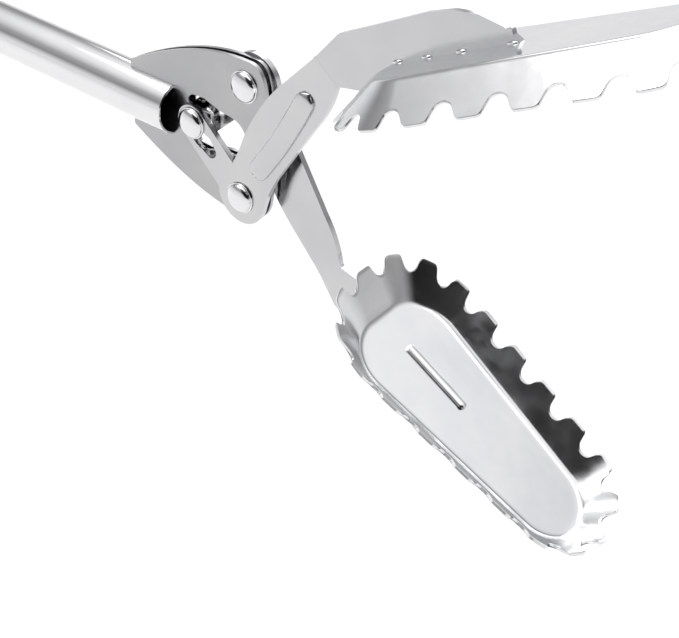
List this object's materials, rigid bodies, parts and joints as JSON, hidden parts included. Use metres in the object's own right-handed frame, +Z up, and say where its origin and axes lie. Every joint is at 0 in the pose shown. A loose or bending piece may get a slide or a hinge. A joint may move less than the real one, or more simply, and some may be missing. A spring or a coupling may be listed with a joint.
{
  "type": "leaf grabber hands",
  "caption": "Hand-held leaf grabber: a trigger in a plastic grip slides a rod along a steel tube and swings two toothed steel scoops shut.",
  "frame": {"origin": "middle of the grip, on the tube's axis", "axes": "+X along the tube towards the scoops, +Z up, the trigger towards -Z, the head's front face towards -Y"},
  "size_m": [0.6269, 0.056, 0.1458],
  "materials": {
    "polished_steel": "polished stainless sheet and tube",
    "plate_steel": "satin stainless sheet",
    "black_plastic": "satin moulded plastic",
    "orange_plastic": "soft-touch moulded plastic",
    "black_steel": "black oxide wire and screws"
  },
  "bodies": {
    "handle": {"shaft_tube": "polished_steel", "head_plate_front": "plate_steel", "head_plate_rear": "plate_steel", "upper_pivot_rivet": "polished_steel", "lower_pivot_rivet": "polished_steel", "upper_pivot_spacer": "polished_steel", "lower_pivot_spacer": "polished_steel", "return_spring": "polished_steel", "spring_stop_bush": "black_plastic", "rod_guide_bush": "black_plastic", "collar": "black_plastic", "grip_left_shell": "orange_plastic", "grip_right_shell": "orange_plastic", "tube_cross_pin": "polished_steel", "grip_screw_1": "black_steel", "grip_screw_2": "black_steel", "trigger_pivot_pin": "black_steel", "hanging_loop": "orange_plastic", "end_cap": "black_plastic"},
    "rod": {"drive_pin": "polished_steel", "rod_blade": "polished_steel", "push_rod": "polished_steel", "rod_clevis": "polished_steel", "link_pin": "polished_steel", "spring_seat": "polished_steel"},
    "upper_jaw": {"upper_jaw_arm": "polished_steel", "upper_jaw_scoop": "polished_steel"},
    "lower_jaw": {"lower_jaw_arm": "polished_steel", "lower_jaw_scoop": "polished_steel"},
    "trigger": {"trigger": "black_plastic"},
    "bail": {"wire_bail": "black_steel"}
  },
  "joints": [
    {"name": "trigger_pull", "type": "hinge", "parent": "handle", "child": "trigger", "pos_m": [0.047, 0, -0.035], "axis": [0, 1, 0], "range_deg": [0, 20], "stiffness_Nm_per_rad": 1.2, "springref_deg": -22.92},
    {"name": "rod_slide", "type": "slide", "parent": "handle", "child": "rod", "axis": [1, 0, 0], "range_m": [0, 0.01222], "deforming": ["return_spring"]},
    {"name": "upper_jaw_swing", "type": "hinge", "parent": "handle", "child": "upper_jaw", "pos_m": [0.375, 0, -0.017], "axis": [0, 1, 0], "range_deg": [0, 27]},
    {"name": "lower_jaw_swing", "type": "hinge", "parent": "handle", "child": "lower_jaw", "pos_m": [0.375, 0, 0.017], "axis": [0, -1, 0], "range_deg": [0, 27]},
    {"name": "bail_swing", "type": "hinge", "parent": "trigger", "child": "bail", "pos_m": [-0.073, 0, -0.04], "axis": [0, -1, 0], "range_deg": [0, 66]}
  ],
  "couplings": [
    {"joint": "rod_slide", "follows": "trigger_pull", "m_per_rad": 0.035},
    {"joint": "upper_jaw_swing", "follows": "trigger_pull", "ratio": 1.35},
    {"joint": "lower_jaw_swing", "follows": "trigger_pull", "ratio": 1.35},
    {"joint": "bail_swing", "follows": "trigger_pull", "ratio": 3.3}
  ]
}
